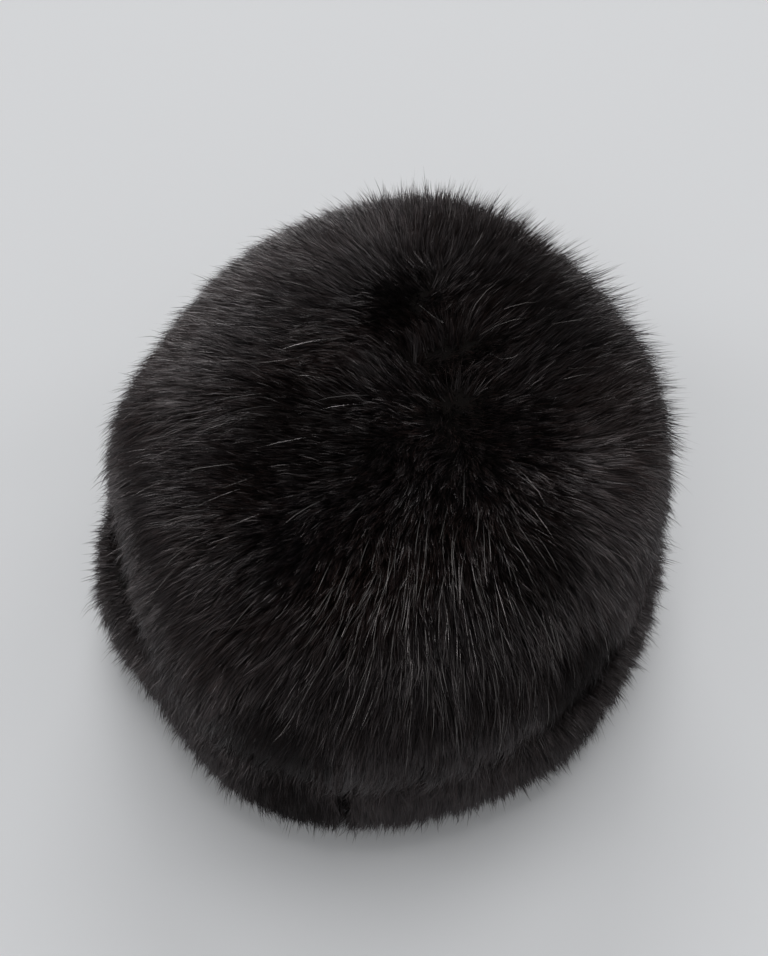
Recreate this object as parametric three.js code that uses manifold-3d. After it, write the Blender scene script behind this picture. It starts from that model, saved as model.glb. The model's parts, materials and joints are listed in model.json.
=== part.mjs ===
// A mink fur hat: a puffed, domed crown and a band turned up round its foot, rolled under at the edge.
// Crown and band are each a thin hide with a thick pile on the outside. The head's hollow is open below.
// Millimetres, +Z up. The origin is the middle of the footprint, on the surface that the hat rests on.
// +Y is the front of the hat and -Y the centre back, where the two ends of the band meet.

import * as THREE from 'three';
import { mergeVertices } from 'three/addons/utils/BufferGeometryUtils.js';
import Module from 'manifold-3d';

const wasm = await Module();
wasm.setup();

// A head is longer than it is wide. Every section is drawn across the hat, at its half width, and is
// stretched along the hat by up to LENGTHENING.
const LENGTHENING = 19;
const LENGTHENING_SOFTNESS = 40;

// The two hides.
const HIDE = 2;
const CLEARANCE = 0.4;
const ROOT_CLEARANCE = 0.3;
const CROWN_HIDE_HALF_WIDTH = 92;
const CROWN_HIDE_WIDEST_Z = 62;
const CROWN_HIDE_RISE = 50;
const CROWN_HIDE_EDGE_Z = 11;
const CROWN_HIDE_TAKE_IN = 7;
const TURNED_UP_INSIDE = 15;
const BAND_HIDE_LEVELS = [51, 32, CROWN_HIDE_EDGE_Z];

// The pile's outer form, which the locks' tips stand on. The crown is a dome that tucks in over the band,
// and the band is a rounded roll whose foot is pressed flat on the floor.
const CROWN_HALF_WIDTH = 106;
const CROWN_WIDEST_Z = 67.5;
const CROWN_RISE = 57.5;
const CROWN_TUCK = 9;
const CROWN_TUCK_Z = 10.2;
const BAND_HALF_WIDTH = 109;
const BAND_ROUNDING = 14;
const BAND_HALF_HEIGHT = 28.1;
const BAND_PILE_TOP_Z = 56;
const BAND_LIP_SHARE = 0.6;
const FOOT_OUTER = 97;
const SQUARENESS = 2.5;

// How far the solid pile lies under that form, and the lowest that a lock's ridge comes.
const PILE_UNDER_TIPS = 3.5;
const LOWEST_RIDGE_Z = 3.5;

// The crown's hair lies away from one point in front of the top of the crown.
const WHORL = { around: 68, polar: 15 };

// Where the soft outline swells or dips, in mm, with the angle round from +X towards +Y in degrees.
const SWELLS = [
  { at: 15, spread: 35, crown: 4, band: 0 },
  { at: 50, spread: 35, crown: 2, band: 0 },
  { at: 85, spread: 35, crown: 3.5, band: 0 },
  { at: 120, spread: 35, crown: -5, band: 0 },
  { at: 155, spread: 35, crown: -7, band: 0 },
  { at: 200, spread: 28, crown: 0, band: 7 },
  { at: 210, spread: 32, crown: -7, band: 0 },
  { at: 228, spread: 24, crown: 0, band: -2.5 },
  { at: 284, spread: 35, crown: 0, band: -3.5 },
  { at: 320, spread: 35, crown: 0, band: 1 },
  { at: 350, spread: 30, crown: 0, band: 3.5 },
];

// Shallow hollows pressed into the crown. polar is the angle down from the top.
const HOLLOWS = [
  { around: 2, polar: 42, reach: 24, depth: 5 },
  { around: 284, polar: 30, reach: 42, depth: 3 },
  { around: 200, polar: 34, reach: 34, depth: 2.5 },
];

// The band's two ends meet at the centre back, where the pile parts.
const SEAM = { around: 271.4, halfWidth: 4.5, depth: 4.5 };

// Rings of locks, from the top of the crown down. lift is how far a tip stands off the form.
const CROWN_RINGS = [
  { polar: 10, locks: 6, length: 33, width: 22, lift: 2.5 },
  { polar: 26, locks: 11, length: 33, width: 22, lift: 2.5 },
  { polar: 42, locks: 16, length: 33, width: 22, lift: 2.5 },
  { polar: 57, locks: 20, length: 32, width: 22, lift: 2.5 },
  { polar: 72, locks: 23, length: 28, width: 21, lift: 2.5 },
];

// Rings of locks on the band, from its rounded top to its rolled edge. rise is the angle up from its middle.
const BAND_RINGS = [
  { rise: 66, locks: 24, length: 24, width: 21, lift: 2 },
  { rise: 22, locks: 25, length: 20, width: 20, lift: 2.5 },
  { rise: -16, locks: 25, length: 15, width: 19, lift: 3 },
];

// A lock, from its root towards its tip: the share of its length, how high its ridge stands off the form,
// its half width as a share of its width, and how deep its edges lie under the ridge.
const LOCK_STEPS = [
  { along: 0, height: -4, across: 0.5, sunk: 4 },
  { along: 0.34, height: 0.4, across: 0.46, sunk: 5 },
  { along: 0.7, height: 1.2, across: 0.27, sunk: 5.5 },
];

// How far each lock strays from its ring's even pattern: of the pitch, of its size and lift, in degrees
// up or down, and in radians of turn.
const STRAY = { place: 0.5, size: 0.3, lift: 0.8, crownDegrees: 5, bandDegrees: 8, turn: 0.3 };

// The valley between crown and band, from the hide outwards, which keeps their hair apart.
const VALLEY = [
  { halfWidth: 60, z: 56.6 },
  { halfWidth: 99, z: 56.6 },
  { halfWidth: 107, z: 55 },
  { halfWidth: 150, z: 40 },
];
const VALLEY_ABOVE_Z = 200;
const VALLEY_BELOW_Z = -100;

// How finely the forms are cut into flat faces.
const STEPS_ROUND = 36;
const DOME_STEPS = 9;
const HIDE_DOME_STEPS = 5;
const HIDE_WALL_STEPS = 3;
const TUCK_TURNS = [45, 90];
const BAND_RISES = [78, 55, 34, 14, -8, -30, -52];

// Corners closer than this are one corner.
const MERGE_WITHIN = 1e-3;
const POCKET_PASSES = 4;

const HIDE_COLOUR = '#8f7f6b';
const FUR_COLOUR = '#1a1412';

const radians = (degrees) => THREE.MathUtils.degToRad(degrees);
const range = (count) => Array.from({ length: count }, (_, i) => i);
const power = (value) => Math.sign(value) * Math.abs(value) ** (2 / SQUARENESS);

// One repeatable stream of numbers from 0 to 1, so that the locks come out alike each time.
function numberStream(seed) {
  let state = seed;
  return () => {
    state = (state * 1664525 + 1013904223) % 4294967296;
    return state / 4294967296;
  };
}

// A smooth bump of height 1 at zero, down to 0 at the distance reach.
function bump(distance, reach) {
  return Math.abs(distance) < reach ? 0.5 + 0.5 * Math.cos((Math.PI * distance) / reach) : 0;
}

function turnBetween(a, b) {
  return ((((a - b) % 360) + 540) % 360) - 180;
}

function swell(around, part) {
  const degrees = THREE.MathUtils.radToDeg(around);
  return SWELLS.reduce((sum, row) => sum + row[part] * bump(turnBetween(degrees, row.at), row.spread), 0);
}

// The point at a half width and height, at an angle round the hat.
function place(halfWidth, z, around) {
  const stretch = (LENGTHENING * halfWidth) / Math.hypot(halfWidth, LENGTHENING_SOFTNESS);
  return new THREE.Vector3(halfWidth * Math.cos(around), (halfWidth + stretch) * Math.sin(around), z);
}

// The crown's outer form: how far out and how high it is at an angle down from the top.
function crownSection(around, polar, inset = 0) {
  const out = power(Math.sin(polar));
  const degrees = THREE.MathUtils.radToDeg(polar);
  const form = place(CROWN_HALF_WIDTH * out, 0, around);
  const dip = HOLLOWS.reduce((sum, row) => {
    const middle = place(CROWN_HALF_WIDTH * power(Math.sin(radians(row.polar))), 0, radians(row.around));
    return sum + row.depth * bump(form.distanceTo(middle), row.reach) * bump(degrees, 90);
  }, 0);
  const halfWidth = (CROWN_HALF_WIDTH + swell(around, 'crown') - inset) * out;
  return { halfWidth, z: CROWN_WIDEST_Z + (CROWN_RISE - inset - dip) * power(Math.cos(polar)) };
}

function crownPoint(around, polar, inset = 0) {
  const { halfWidth, z } = crownSection(around, polar, inset);
  return place(halfWidth, z, around);
}

// The band's outer form: rise is 90 degrees at its top, 0 at its widest and -90 where it meets the floor.
function bandSection(around, rise, inset = 0) {
  const seam = place(BAND_HALF_WIDTH, 0, radians(SEAM.around));
  const parting = SEAM.depth * bump(seam.distanceTo(place(BAND_HALF_WIDTH, 0, around)), 2 * SEAM.halfWidth);
  const middle = BAND_HALF_WIDTH - BAND_ROUNDING;
  const out = (BAND_ROUNDING + swell(around, 'band') - inset - parting) * power(Math.cos(rise));
  const up = BAND_HALF_HEIGHT * power(Math.sin(rise));
  return { halfWidth: middle + out, z: BAND_HALF_HEIGHT + up };
}

function bandPoint(around, rise, inset = 0) {
  const { halfWidth, z } = bandSection(around, rise, inset);
  return place(halfWidth, z, around);
}

// The crown's hide: a dome down to its widest, then drawn in to the head's size at the edge.
function hideDome(polar, outset) {
  return {
    halfWidth: (CROWN_HIDE_HALF_WIDTH + outset) * power(Math.sin(polar)),
    z: CROWN_HIDE_WIDEST_Z + (CROWN_HIDE_RISE + outset) * power(Math.cos(polar)),
  };
}

function hideWall(z, outset) {
  const down = Math.max(0, CROWN_HIDE_WIDEST_Z - z) / (CROWN_HIDE_WIDEST_Z - CROWN_HIDE_EDGE_Z);
  return { halfWidth: CROWN_HIDE_HALF_WIDTH + outset - CROWN_HIDE_TAKE_IN * down ** 1.5, z };
}

// The profile from the middle of the top down, on the outside of the hide or off it.
function hideDomeProfile(outset) {
  return range(HIDE_DOME_STEPS + 1).map((i) => hideDome((i * Math.PI) / 2 / HIDE_DOME_STEPS, outset));
}

function hideProfile(outset) {
  const step = (CROWN_HIDE_WIDEST_Z - CROWN_HIDE_EDGE_Z) / HIDE_WALL_STEPS;
  const wall = range(HIDE_WALL_STEPS).map((i) => hideWall(CROWN_HIDE_WIDEST_Z - step * (i + 1), outset));
  return [...hideDomeProfile(outset), ...wall];
}

// A closed solid swept round the hat from a section in half widths and heights. A section that starts and
// ends on the middle line makes a dome, and one that does not makes a ring.
function sweep(sectionAt, steps) {
  const angles = range(steps).map((i) => (2 * Math.PI * i) / steps);
  const sections = angles.map((around) => sectionAt(around).map((p) => place(p.halfWidth, p.z, around)));
  const count = sections[0].length;
  const first = sections[0][0];
  const last = sections[0][count - 1];
  const isDome = Math.hypot(first.x, first.y, last.x, last.y) < 1e-6;
  const edges = isDome ? count - 1 : count;
  const index = [];
  for (const i of range(steps)) {
    for (const j of range(edges)) {
      const [a, b] = [i, (i + 1) % steps].map((k) => k * count + j);
      const [c, d] = [i, (i + 1) % steps].map((k) => k * count + ((j + 1) % count));
      index.push(a, c, b, b, c, d);
    }
  }
  const geometry = new THREE.BufferGeometry().setFromPoints(sections.flat());
  geometry.setIndex(index);
  return closed(geometry);
}

// Merges equal corners and drops the faces that have no area, which a dome's middle leaves.
function closed(geometry) {
  const merged = mergeVertices(geometry, MERGE_WITHIN);
  const corners = Array.from(merged.index.array);
  const kept = range(corners.length / 3)
    .map((i) => corners.slice(3 * i, 3 * i + 3))
    .filter(([a, b, c]) => a !== b && b !== c && c !== a);
  merged.setIndex(kept.flat());
  return merged;
}

function toManifold(geometry) {
  const vertProperties = new Float32Array(geometry.attributes.position.array);
  const triVerts = new Uint32Array(geometry.index.array);
  return new wasm.Manifold(new wasm.Mesh({ numProp: 3, vertProperties, triVerts }));
}

function meshOf(manifold) {
  const mesh = manifold.getMesh();
  const geometry = new THREE.BufferGeometry();
  geometry.setAttribute('position', new THREE.BufferAttribute(new Float32Array(mesh.vertProperties), 3));
  geometry.setIndex(Array.from(mesh.triVerts));
  return closed(geometry);
}

// The largest skin alone, so that the small pockets that crossing locks shut in are filled. Merging the
// corners can free a pocket that only touched the skin, so it is done more than once.
function toGeometry(manifold) {
  let geometry = meshOf(manifold);
  for (const _ of range(POCKET_PASSES)) {
    const [largest] = toManifold(geometry).decompose().sort((a, b) => b.volume() - a.volume());
    geometry = meshOf(largest);
  }
  return geometry;
}

// The steps along a lock's ridge: those of its body, then its tip.
function ridgeSteps({ length, lift }) {
  const body = LOCK_STEPS.map(({ along, height }) => ({ distance: along * length, height }));
  return [...body, { distance: length, height: lift }];
}

// One lock: a pointed leaf of hair with a ridge along it, on a short path over the form. Each step of the
// path gives the ridge, the way out of the fur and the way across the lock, whose edges lie in the pile.
function lock(path, width) {
  const points = LOCK_STEPS.flatMap(({ across, sunk }, i) => {
    const { ridge, out, side } = path[i];
    const under = ridge.clone().addScaledVector(out, -sunk);
    return [
      under.clone().addScaledVector(side, across * width),
      ridge.clone(),
      under.clone().addScaledVector(side, -across * width),
    ];
  });
  const tip = points.length;
  points.push(path[LOCK_STEPS.length].ridge);
  const index = [0, 1, 2];
  for (const ring of range(LOCK_STEPS.length)) {
    const isLast = ring === LOCK_STEPS.length - 1;
    for (const i of range(3)) {
      const [a, b] = [3 * ring + i, 3 * ring + ((i + 1) % 3)];
      index.push(...(isLast ? [b, a, tip] : [b, a, a + 3, b, a + 3, b + 3]));
    }
  }
  const geometry = new THREE.BufferGeometry().setFromPoints(points);
  geometry.setIndex(index);
  return geometry;
}

// The way out of a form at a place on it, from two neighbouring points.
function outward(pointAt, a, b) {
  const step = 0.02;
  const along = pointAt(a + step, b).sub(pointAt(a - step, b));
  const down = pointAt(a, b + step).sub(pointAt(a, b - step));
  return down.cross(along).normalize();
}

// Where a point over the crown lies on its form.
function ontoCrown(point) {
  let stretch = 1;
  for (const _ of range(6)) {
    const halfWidth = Math.hypot(point.x, point.y / stretch);
    stretch = 1 + LENGTHENING / Math.hypot(halfWidth, LENGTHENING_SOFTNESS);
  }
  const around = Math.atan2(point.y / stretch, point.x);
  const out = Math.hypot(point.x, point.y / stretch) / (CROWN_HALF_WIDTH + swell(around, 'crown'));
  const up = (point.z - CROWN_WIDEST_Z) / CROWN_RISE;
  const shaped = (share) => Math.sign(share) * Math.abs(share) ** (SQUARENESS / 2);
  return { around, polar: Math.atan2(shaped(out), shaped(up)) };
}

// A lock's path over the crown: away from the whorl, held to the form's curve, its tip a little off it.
function crownLockPath(around, polar, size, turn) {
  const whorl = crownPoint(radians(WHORL.around), radians(WHORL.polar));
  let spot = { around, polar };
  let here = crownPoint(around, polar);
  return ridgeSteps(size).map(({ distance, height }, i, steps) => {
    const out = outward(crownPoint, spot.around, spot.polar);
    const away = here.clone().sub(whorl);
    const along = away.addScaledVector(out, -away.dot(out)).normalize().applyAxisAngle(out, turn);
    const side = along.clone().cross(out).normalize();
    const ridge = here.clone().addScaledVector(out, height);
    if (i + 1 < steps.length) {
      const next = here.clone().addScaledVector(along, steps[i + 1].distance - distance);
      spot = ontoCrown(next);
      here = spot.polar < Math.PI / 2 ? crownPoint(spot.around, spot.polar) : next;
      spot.polar = Math.min(spot.polar, Math.PI / 2);
    }
    return { ridge, out, side };
  });
}

// Where a walk of a given length down over the band's roundness ends.
function walkDownBand(around, rise, distance) {
  const step = radians(2);
  let gone = 0;
  let at = rise;
  while (gone < distance && at > radians(-70)) {
    gone += bandPoint(around, at).distanceTo(bandPoint(around, at - step));
    at -= step;
  }
  return at;
}

// A lock's path on the band: down over its roundness, its tip a little off it.
function bandLockPath(around, rise, size, lean) {
  return ridgeSteps(size).map(({ distance, height }) => {
    const at = walkDownBand(around, rise, distance);
    const turned = around + (distance * lean) / BAND_HALF_WIDTH;
    const out = outward((a, b) => bandPoint(a, -b), turned, -at);
    const side = new THREE.Vector3(0, 0, -1).cross(out).normalize();
    const ridge = bandPoint(turned, at).addScaledVector(out, height);
    ridge.z = Math.max(ridge.z, LOWEST_RIDGE_Z);
    return { ridge, out, side };
  });
}

// A ring of locks, each a little out of line with the next, as hair is.
function ringOfLocks(ring, number, next, makePath) {
  const pitch = (2 * Math.PI) / ring.locks;
  const stray = (share) => share * (next() - 0.5);
  return range(ring.locks).map((i) => {
    const around = (i + 0.5 * (number % 2) + stray(STRAY.place)) * pitch;
    const scale = 1 + stray(STRAY.size);
    const size = { length: ring.length * scale, lift: ring.lift * (1 + stray(STRAY.lift)) };
    return lock(makePath(around, size, stray), ring.width * scale);
  });
}

function fuse(body, pieces) {
  return pieces.reduce((sum, piece) => sum.add(toManifold(piece)), body);
}

// All the room over or under the valley.
function valleySide(above) {
  const gap = above ? -CLEARANCE : CLEARANCE;
  const valley = VALLEY.map(({ halfWidth, z }) => ({ halfWidth, z: z + gap }));
  const far = [...VALLEY].reverse().map(({ halfWidth }) => ({
    halfWidth,
    z: above ? VALLEY_ABOVE_Z : VALLEY_BELOW_Z,
  }));
  const section = above ? [...valley, ...far] : [...valley, ...far].reverse();
  return toManifold(sweep(() => section, STEPS_ROUND));
}

function crownHide() {
  const section = [...hideProfile(0), ...hideProfile(-HIDE).reverse()];
  return sweep(() => section, STEPS_ROUND);
}

// The strip outside the crown's foot, under its edge and up inside.
function bandHide() {
  const edge = hideWall(CROWN_HIDE_EDGE_Z, 0).halfWidth;
  const insideFace = edge - HIDE - CLEARANCE;
  const underZ = CROWN_HIDE_EDGE_Z - CLEARANCE;
  const insideTop = CROWN_HIDE_EDGE_Z + TURNED_UP_INSIDE;
  const lean = hideWall(insideTop, 0).halfWidth - edge;
  const section = [
    ...BAND_HIDE_LEVELS.map((z) => hideWall(z, CLEARANCE + HIDE)),
    { halfWidth: edge + CLEARANCE, z: underZ - HIDE },
    { halfWidth: insideFace, z: underZ - HIDE },
    { halfWidth: insideFace - HIDE, z: underZ },
    { halfWidth: insideFace - HIDE + lean, z: insideTop },
    { halfWidth: insideFace + lean, z: insideTop },
    { halfWidth: insideFace, z: underZ },
    ...[...BAND_HIDE_LEVELS].reverse().map((z) => hideWall(z, CLEARANCE)),
  ];
  return sweep(() => section, STEPS_ROUND);
}

function crownFur() {
  const inside = hideDomeProfile(CLEARANCE).reverse();
  const sectionAt = (around) => {
    const dome = range(DOME_STEPS + 1).map((i) =>
      crownSection(around, (i * Math.PI) / 2 / DOME_STEPS, PILE_UNDER_TIPS));
    const widest = dome[DOME_STEPS].halfWidth;
    const tuck = TUCK_TURNS.map(radians).map((turn) => ({
      halfWidth: widest - CROWN_TUCK * (1 - Math.cos(turn)),
      z: CROWN_WIDEST_Z - CROWN_TUCK_Z * Math.sin(turn),
    }));
    const foot = { halfWidth: inside[0].halfWidth, z: CROWN_WIDEST_Z - CROWN_TUCK_Z };
    return [...dome, ...tuck, foot, ...inside];
  };
  const next = numberStream(11);
  const locks = CROWN_RINGS.flatMap((ring, number) =>
    ringOfLocks(ring, number, next, (around, size, stray) =>
      crownLockPath(around, radians(ring.polar + stray(STRAY.crownDegrees)), size, stray(STRAY.turn))));
  const pile = fuse(toManifold(sweep(sectionAt, STEPS_ROUND)), locks);
  return toGeometry(pile.subtract(insideOfHide()).subtract(valleySide(false)));
}

// The room that the crown's hide takes, for keeping roots of locks out of it.
function insideOfHide() {
  const section = [...hideProfile(ROOT_CLEARANCE), { halfWidth: 0, z: CROWN_HIDE_EDGE_Z }];
  return toManifold(sweep(() => section, STEPS_ROUND));
}

// The room that the band's hide and what it wraps take, for keeping roots of locks out of it.
function insideOfBand() {
  const gap = CLEARANCE + HIDE + ROOT_CLEARANCE;
  const underZ = CROWN_HIDE_EDGE_Z - gap;
  const section = [
    { halfWidth: 0, z: CROWN_HIDE_WIDEST_Z },
    hideWall(CROWN_HIDE_WIDEST_Z, gap),
    ...BAND_HIDE_LEVELS.map((z) => hideWall(z, gap)),
    { halfWidth: hideWall(CROWN_HIDE_EDGE_Z, ROOT_CLEARANCE).halfWidth, z: underZ },
    { halfWidth: 0, z: underZ },
  ];
  return toManifold(sweep(() => section, STEPS_ROUND));
}

function bandFur() {
  const gap = 2 * CLEARANCE + HIDE;
  const edge = hideWall(CROWN_HIDE_EDGE_Z, 0).halfWidth;
  const underZ = CROWN_HIDE_EDGE_Z - gap;
  const insideFace = edge - 2 * HIDE - CLEARANCE;
  const sectionAt = (around) => {
    const outside = BAND_RISES.map((rise) => bandSection(around, radians(rise), PILE_UNDER_TIPS));
    return [
      hideWall(BAND_PILE_TOP_Z, gap),
      ...outside,
      { halfWidth: FOOT_OUTER, z: 0 },
      { halfWidth: edge, z: 0 },
      { halfWidth: insideFace, z: underZ * BAND_LIP_SHARE },
      { halfWidth: insideFace + BAND_LIP_SHARE, z: underZ },
      { halfWidth: edge + CLEARANCE, z: underZ },
      ...[...BAND_HIDE_LEVELS].reverse().map((z) => hideWall(z, gap)),
    ];
  };
  const next = numberStream(23);
  const locks = BAND_RINGS.flatMap((ring, number) =>
    ringOfLocks(ring, number, next, (around, size, stray) =>
      bandLockPath(around, radians(ring.rise + stray(STRAY.bandDegrees)), size, stray(STRAY.turn))));
  const pile = fuse(toManifold(sweep(sectionAt, STEPS_ROUND)), locks);
  return toGeometry(pile.subtract(insideOfBand()).subtract(valleySide(true)));
}

function namedMesh(name, geometry, colour, roughness) {
  geometry.computeVertexNormals();
  const material = new THREE.MeshStandardMaterial({ color: colour, roughness, metalness: 0 });
  const mesh = new THREE.Mesh(geometry, material);
  mesh.name = name;
  return mesh;
}

const crown = new THREE.Group();
crown.name = 'crown';
crown.add(namedMesh('crown_hide', crownHide(), HIDE_COLOUR, 0.9));
crown.add(namedMesh('crown_fur', crownFur(), FUR_COLOUR, 0.5));

const band = new THREE.Group();
band.name = 'band';
band.add(namedMesh('band_hide', bandHide(), HIDE_COLOUR, 0.9));
band.add(namedMesh('band_fur', bandFur(), FUR_COLOUR, 0.5));

const hat = new THREE.Group();
hat.name = 'mink_fur_hat';
hat.add(crown, band);

export default hat;
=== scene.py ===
"""Dresses a mink fur hat: deep glossy fur on its domed crown and its turned-up band, bare hide inside.

Lengths are metres and +Z is up. +Y is the front of the hat and -Y its centre back, where the ends of the
band meet. The coat is grown hair by hair over the forms of the two piles: short dull underfur on a soft
body, and long glossy guard hair over it that leaves the crown's parting, gathers in small tufts and is
brushed more upright in some places than in others.
"""

import json
import logging
import math
from dataclasses import dataclass, fields, replace
from enum import Enum

import bmesh
import bpy
import numpy as np
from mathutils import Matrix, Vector

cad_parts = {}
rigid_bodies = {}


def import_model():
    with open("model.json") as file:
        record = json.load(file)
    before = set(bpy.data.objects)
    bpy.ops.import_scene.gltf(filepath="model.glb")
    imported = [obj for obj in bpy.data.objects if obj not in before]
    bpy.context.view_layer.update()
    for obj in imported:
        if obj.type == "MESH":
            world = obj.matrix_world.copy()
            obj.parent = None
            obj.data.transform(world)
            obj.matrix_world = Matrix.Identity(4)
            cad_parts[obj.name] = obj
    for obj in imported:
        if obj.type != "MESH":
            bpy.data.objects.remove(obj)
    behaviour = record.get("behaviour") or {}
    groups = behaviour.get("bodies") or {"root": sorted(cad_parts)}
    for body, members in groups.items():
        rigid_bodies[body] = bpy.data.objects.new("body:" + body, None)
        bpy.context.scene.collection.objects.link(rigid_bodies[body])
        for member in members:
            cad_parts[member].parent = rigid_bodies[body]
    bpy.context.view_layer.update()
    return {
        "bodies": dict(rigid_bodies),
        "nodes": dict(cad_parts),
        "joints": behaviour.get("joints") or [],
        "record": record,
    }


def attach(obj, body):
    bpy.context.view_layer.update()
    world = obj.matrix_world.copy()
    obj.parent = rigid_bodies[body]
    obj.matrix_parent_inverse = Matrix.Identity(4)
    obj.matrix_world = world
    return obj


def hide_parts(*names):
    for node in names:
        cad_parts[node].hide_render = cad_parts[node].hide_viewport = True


MM = 0.001
BODY = "root"

# The map that carries each hair's colour. A hair is a little way wide on it, and keeps off its edges.
HAIR_MAP = "OFBake"
HAIR_MAP_HALF_WIDTH = 0.006
HAIR_MAP_EDGE = 0.02

# Guard hair whose tip gets less far up its colours than this is dull. Painted shade lowers the tips, so
# more hair is dull where it is laid on.
DULL_BELOW = 0.7

log = logging.getLogger("mink_fur_hat")


def linear(colour: str) -> tuple[float, float, float, float]:
    """Turns an sRGB hex colour into the linear values that a shader takes.

    Args:
        colour: A colour such as "#1a1412".

    Returns:
        Red, green, blue and an alpha of 1.
    """
    parts = [int(colour[i : i + 2], 16) / 255 for i in (1, 3, 5)]
    red, green, blue = [c / 12.92 if c <= 0.04045 else ((c + 0.055) / 1.055) ** 2.4 for c in parts]
    return red, green, blue, 1.0


def unit(vectors: np.ndarray) -> np.ndarray:
    """Scales each vector in the last axis to length 1."""
    return vectors / np.maximum(np.linalg.norm(vectors, axis=-1, keepdims=True), 1e-12)


def dot(a: np.ndarray, b: np.ndarray) -> np.ndarray:
    """The scalar product of vectors in the last axis, which is kept."""
    return np.sum(a * b, axis=-1, keepdims=True)


def bump(distance: np.ndarray, reach: float) -> np.ndarray:
    """A smooth hill of height 1 at no distance, down to 0 at reach."""
    return np.where(np.abs(distance) < reach, 0.5 + 0.5 * np.cos(np.pi * distance / reach), 0.0)


def turn_between(a: np.ndarray, b: float) -> np.ndarray:
    """The smallest turn from angle b to angle a, in degrees, from -180 to 180."""
    return (a - b + 540) % 360 - 180


def ripple(points: np.ndarray, wavelength: float, seed: int) -> np.ndarray:
    """A smooth unevenness through space that is the same each time.

    Args:
        points: Points in the last axis.
        wavelength: The rough distance from one crest to the next.
        seed: Which of the possible patterns.

    Returns:
        One value for each point, mostly from -1 to 1.
    """
    waves = 7
    rng = np.random.default_rng(seed)
    turns = rng.uniform(0.7, 1.5, (waves, 1)) * 2 * np.pi / wavelength
    directions = unit(rng.normal(size=(waves, 3))) * turns
    return 2 * np.sin(points @ directions.T + rng.uniform(0, 2 * np.pi, waves)).mean(axis=-1)


class Part(Enum):
    """The two parts that the hat's outline is made of, by their column in the table of swells."""

    CROWN = "crown"
    BAND = "band"


@dataclass(frozen=True)
class Plan:
    """The hat's plan. Sections are drawn at their half width and lengthened from back to front."""

    lengthening: float = 19 * MM
    softness: float = 40 * MM

    def place(self, half_width: np.ndarray, height: np.ndarray, around: np.ndarray) -> np.ndarray:
        """Finds the points at some half widths and heights.

        Args:
            half_width: How far out, measured across the hat.
            height: How high.
            around: The angle from +X towards +Y, in radians.

        Returns:
            The points, in the last axis.
        """
        length = half_width + self.lengthening * half_width / np.hypot(half_width, self.softness)
        return np.stack(
            np.broadcast_arrays(half_width * np.cos(around), length * np.sin(around), height), axis=-1
        )


@dataclass(frozen=True)
class Swell:
    """A place round the hat where its soft outline swells or dips, in degrees and millimetres."""

    at: float
    spread: float
    crown: float
    band: float


SWELLS = (
    Swell(at=15, spread=35, crown=4, band=0),
    Swell(at=50, spread=35, crown=2, band=0),
    Swell(at=85, spread=35, crown=3.5, band=0),
    Swell(at=120, spread=35, crown=-5, band=0),
    Swell(at=155, spread=35, crown=-7, band=0),
    Swell(at=200, spread=28, crown=0, band=7),
    Swell(at=210, spread=32, crown=-7, band=0),
    Swell(at=228, spread=24, crown=0, band=-2.5),
    Swell(at=284, spread=35, crown=0, band=-3.5),
    Swell(at=320, spread=35, crown=0, band=1),
    Swell(at=350, spread=30, crown=0, band=3.5),
)


@dataclass(frozen=True)
class Hollow:
    """A shallow hollow pressed into the crown: where it is, in degrees, and how wide and deep."""

    around: float
    polar: float
    reach: float
    depth: float


HOLLOWS = (
    Hollow(around=2, polar=42, reach=24 * MM, depth=5 * MM),
    Hollow(around=284, polar=30, reach=42 * MM, depth=3 * MM),
    Hollow(around=200, polar=34, reach=34 * MM, depth=2.5 * MM),
)


def swell(around: np.ndarray, part: Part) -> np.ndarray:
    """How far the outline swells at angles round the hat.

    Args:
        around: Angles in radians.
        part: Whose outline.

    Returns:
        The swelling in metres.
    """
    degrees = np.degrees(around)
    hills = []
    for row in SWELLS:
        height = getattr(row, part.value) * MM
        hills.append(height * bump(turn_between(degrees, row.at), row.spread))
    return np.sum(hills, axis=0)


def rounded(value: np.ndarray, squareness: float = 2.5) -> np.ndarray:
    """Bends a sine or cosine so that the round that it draws is a little squarer than a circle."""
    return np.sign(value) * np.abs(value) ** (2 / squareness)


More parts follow.
